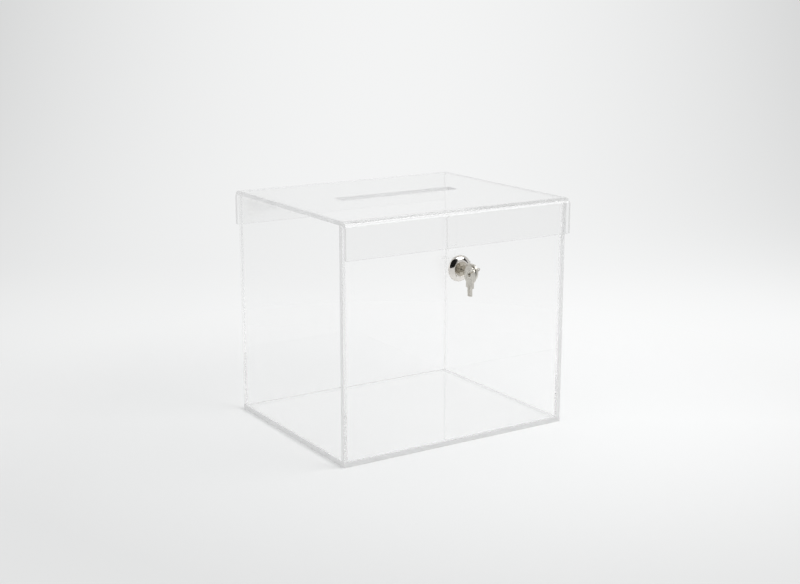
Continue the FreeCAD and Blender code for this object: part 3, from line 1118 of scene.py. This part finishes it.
class DONATIONBOX_OT_lock_core(bpy.types.Operator):
    """Dresses the plug, wafers, stop, cam and screw, and winds the wafer springs"""

    bl_idname = "donation_box.lock_core"
    bl_label = "Plug, cam and wafers"

    def execute(self, context):
        dress("lock_plug", metal("satin_plug_plate"))
        dress("plug_wafers", metal("stamped_brass"))
        for node in ("stop_washer", "cam", "cam_washer", "cam_screw"):
            dress(node, metal("zinc_plate"))
        low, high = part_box("wafer_springs")
        bm = bmesh.new()
        radius = 0.45 * MM
        wire = 0.1 * MM
        turns = 7
        springs = 3
        for index in range(springs):
            side = high.x - radius if index % 2 == 0 else low.x + radius
            along = low.y + radius + index * (high.y - low.y - 2 * radius) / (springs - 1)
            coil(bm, Vector((side, along, low.z)), radius - wire, wire, high.z - low.z, turns)
        mesh = finished_mesh(bm, "coil_springs", sharp=60.0)
        stand_in_for(mesh, "coil_springs", "wafer_springs", metal("spring_wire"))
        return {"FINISHED"}


class DONATIONBOX_OT_keys(bpy.types.Operator):
    """Dresses both keys and the wire ring"""

    bl_idname = "donation_box.keys"
    bl_label = "Keys and ring"

    def execute(self, context):
        plate = metal("brushed_key_plate")
        dress("key", plate)
        dress("spare_key", plate)
        frame["nodes"]["key_ring"].material_slots[0].material = plate
        return {"FINISHED"}


# Stage


def sweep_mesh():
    """Floor that curves up into a backdrop, as one sheet."""
    bend = arc_points((SWEEP_FLAT, SWEEP_BEND), SWEEP_BEND, -90, 0, SWEEP_STEPS)
    profile = [(-SWEEP_HALF, 0.0), *bend, (SWEEP_FLAT + SWEEP_BEND, SWEEP_TOP)]
    bm = bmesh.new()
    rows = [[bm.verts.new((x, y, z)) for x in (-SWEEP_HALF, SWEEP_HALF)] for y, z in profile]
    for first, second in zip(rows, rows[1:]):
        bm.faces.new((first[0], first[1], second[1], second[0]))
    return finished_mesh(bm, "stage_sweep", sharp=60.0)


def paper_colour_and_painted_light(tree, place, look):
    """Pale paper with its grain, and painted light and shade: greyer to the sides and the front,
    lighter at the right and behind the box.
    """
    part = add_node(tree, "ShaderNodeSeparateXYZ")
    tree.links.new(place, part.inputs[0])
    across = part.outputs["X"]
    depth = part.outputs["Y"]
    square = math_node(tree, "MULTIPLY", across, across)
    most = look.painted_front_shade
    share_near = most / look.painted_side_shade

    # Painted light that brightens the paper towards the right, near the box
    near = fade(tree, depth, *NEAR_DEPTH, 1.0, 0.0)
    middle = fade(tree, square, *LEAN_SQUARE, 1.0, 0.0)
    ends = [share * look.painted_light_lean for share in LEAN_SHARES]
    lean = map_range(tree, across, *LEAN_ACROSS, *ends)
    lean = math_node(tree, "MULTIPLY", lean, near, middle)

    # Painted shade towards both sides and towards the front
    sides = map_range(tree, square, 0.0, share_near, 0.0, -most)
    front = map_range(tree, depth, *FRONT_DEPTH, -most, 0.0)

    # Painted pool of light just behind the box
    rise = fade(tree, depth, *PAINTED_POOL_RISE, 0.0, look.painted_light_pool)
    fall = fade(tree, depth, *PAINTED_POOL_FALL, 1.0, 0.0)
    pool = math_node(tree, "MULTIPLY", rise, fall)

    # Painted shade that deepens towards the sides behind the box
    behind = fade(tree, depth, *BEHIND_DEPTH)
    beside = fade(tree, square, *BESIDE_SQUARE, 1.0, 0.0)
    corner = map_range(tree, square, share_near, 1.0, 0.0, most - look.painted_side_shade)
    corner = math_node(tree, "MULTIPLY", corner, behind, beside)
    grain = math_node(tree, "MULTIPLY", noise(tree, place, GRAIN_SCALE), GRAIN)

    tone = math_node(tree, "ADD", lean, sides, front, pool)
    tone = math_node(tree, "MAXIMUM", tone, -most)
    tone = math_node(tree, "ADD", tone, corner, grain)
    plain = look.floor_colour[:3]
    low, high = ([channel + change for channel in plain] + [1.0] for change in PAINTED_TONE_RANGE)
    return mix_colour(tree, map_range(tree, tone, *PAINTED_TONE_RANGE), low, high)


def sweep_material(look):
    """Pale paper, lit near the box and fading away from it into a self-lit backdrop in the paper's
    colour, with its painted light and shade.
    """
    material, tree, shader = new_material("stage_paper")
    place = add_node(tree, "ShaderNodeTexCoord").outputs["Object"]
    colour = paper_colour_and_painted_light(tree, place, look)
    feed(tree, shader, {"Base Color": colour, "Roughness": 0.9, "Specular IOR Level": 0.1})
    # The glow shows the paper's colour with its painted light and shade
    glow = add_node(tree, "ShaderNodeEmission")
    feed(tree, glow, {"Color": colour})
    away = add_node(tree, "ShaderNodeVectorMath", operation="LENGTH")
    tree.links.new(place, away.inputs[0])
    far = fade(tree, away.outputs["Value"], *FREE_OF_SHADOW)
    path = add_node(tree, "ShaderNodeLightPath").outputs
    rays = [path[f"Is {kind} Ray"] for kind in ("Camera", "Glossy", "Transmission")]
    share = math_node(tree, "MULTIPLY", far, math_node(tree, "ADD", *rays, clamp=True))
    show(tree, mix_surfaces(tree, share, shader.outputs["BSDF"], glow.outputs["Emission"]))
    return material


def dark_patch(tree, direction, towards, inner, outer):
    """Soft-edged mask of one direction in the room, with angles in degrees."""
    dot = add_node(tree, "ShaderNodeVectorMath", operation="DOT_PRODUCT")
    feed(tree, dot, {0: direction, 1: Vector(towards).normalized()})
    low, high = (math.cos(math.radians(angle)) for angle in (outer, inner))
    return fade(tree, dot.outputs["Value"], low, high)


def room_light(look):
    """Pale room, a little lighter overhead, with two dark places that only the metal mirrors."""
    world = bpy.data.worlds.new("pale_room")
    bpy.context.scene.world = world
    world.use_nodes = True
    tree = world.node_tree
    tree.nodes.clear()
    direction = add_node(tree, "ShaderNodeTexCoord").outputs["Generated"]
    part = add_node(tree, "ShaderNodeSeparateXYZ")
    tree.links.new(direction, part.inputs[0])
    colour = mix_colour(tree, fade(tree, part.outputs["Z"], *ROOM_RISE), ROOM_LOW, ROOM_HIGH)
    path = add_node(tree, "ShaderNodeLightPath").outputs
    left = dark_patch(tree, direction, *DARK_LEFT)
    right = dark_patch(tree, direction, *DARK_RIGHT)
    blurred = math_node(tree, "SUBTRACT", path["Is Glossy Ray"], path["Is Singular Ray"])
    blurred = math_node(tree, "MAXIMUM", blurred, 0.0)
    dark = math_node(tree, "MULTIPLY", math_node(tree, "ADD", left, right), blurred)
    seen = math_node(tree, "ADD", path["Is Camera Ray"], path["Is Transmission Ray"])
    light = {
        "Color": mix_colour(tree, dark, colour, ROOM_DARK),
        "Strength": map_range(tree, seen, 0.0, 1.0, look.room_strength, look.room_through_sheet),
    }
    background = add_node(tree, "ShaderNodeBackground")
    feed(tree, background, light)
    output = add_node(tree, "ShaderNodeOutputWorld")
    tree.links.new(background.outputs["Background"], output.inputs["Surface"])


def soft_lamp(name, place, size, power):
    """Square soft light aimed at the box, which doesn't show through the sheets."""
    lamp = bpy.data.lights.new(name, "AREA")
    lamp.size = size
    lamp.energy = power
    item = bpy.data.objects.new(name, lamp)
    bpy.context.scene.collection.objects.link(item)
    item.location = place
    aim = LAMP_TARGET - item.location
    item.rotation_euler = aim.to_track_quat("-Z", "Y").to_euler()
    item.visible_transmission = False


class DONATIONBOX_OT_stage(bpy.types.Operator):
    """Sets the pale sweep, the soft light and the camera"""

    bl_idname = "donation_box.stage"
    bl_label = "Stage"

    def execute(self, context):
        look = settings().stage
        scene = context.scene
        sweep = bpy.data.objects.new("stage_sweep", sweep_mesh())
        scene.collection.objects.link(sweep)
        sweep.data.materials.append(sweep_material(look))
        sweep.rotation_euler.z = look.camera_turn
        soft_lamp("softbox", *SOFTBOX, look.softbox_power)
        soft_lamp("fill", *FILL, look.fill_power)
        room_light(look)
        camera = bpy.data.objects.new("camera", bpy.data.cameras.new("camera"))
        scene.collection.objects.link(camera)
        camera.location = look.camera_place
        camera.rotation_euler = (math.pi / 2 - look.camera_tilt, 0.0, look.camera_turn)
        camera.data.sensor_width = SENSOR_WIDTH
        camera.data.sensor_fit = "HORIZONTAL"
        camera.data.lens = look.lens
        scene.camera = camera
        scene.view_settings.view_transform = "Standard"
        scene.cycles.max_bounces = LIGHT_BOUNCES
        scene.cycles.transmission_bounces = LIGHT_BOUNCES
        scene.cycles.glossy_bounces = LIGHT_BOUNCES
        scene.cycles.transparent_max_bounces = CLEAR_BOUNCES
        scene.cycles.sample_clamp_indirect = BRIGHTEST_BOUNCE
        scene.cycles.caustics_refractive = False
        scene.cycles.caustics_reflective = False
        return {"FINISHED"}


OPERATORS = (
    DONATIONBOX_OT_panels,
    DONATIONBOX_OT_lid,
    DONATIONBOX_OT_lock_housing,
    DONATIONBOX_OT_lock_clamp,
    DONATIONBOX_OT_lock_core,
    DONATIONBOX_OT_keys,
    DONATIONBOX_OT_stage,
)


class DONATIONBOX_PT_panel(bpy.types.Panel):
    """Lists the box's operators and settings"""

    bl_idname = "DONATIONBOX_PT_panel"
    bl_label = "Donation box"
    bl_space_type = "VIEW_3D"
    bl_region_type = "UI"
    bl_category = "Donation box"

    def draw(self, context):
        for group in (settings().sheet, settings().lock, settings().stage):
            section = self.layout.box()
            for name in group.__annotations__:
                section.prop(group, name)
        for operator in OPERATORS:
            self.layout.operator(operator.bl_idname)


CLASSES = (
    SheetSettings,
    LockSettings,
    StageSettings,
    DonationBoxSettings,
    *OPERATORS,
    DONATIONBOX_PT_panel,
)


def register():
    for item in CLASSES:
        bpy.utils.register_class(item)
    bpy.types.Scene.donation_box = bpy.props.PointerProperty(type=DonationBoxSettings)


def unregister():
    del bpy.types.Scene.donation_box
    for item in reversed(CLASSES):
        bpy.utils.unregister_class(item)


def main():
    register()
    bpy.ops.donation_box.stage()
    bpy.ops.donation_box.panels()
    bpy.ops.donation_box.lid()
    bpy.ops.donation_box.lock_housing()
    bpy.ops.donation_box.lock_clamp()
    bpy.ops.donation_box.lock_core()
    bpy.ops.donation_box.keys()


if __name__ == "__main__":
    main()
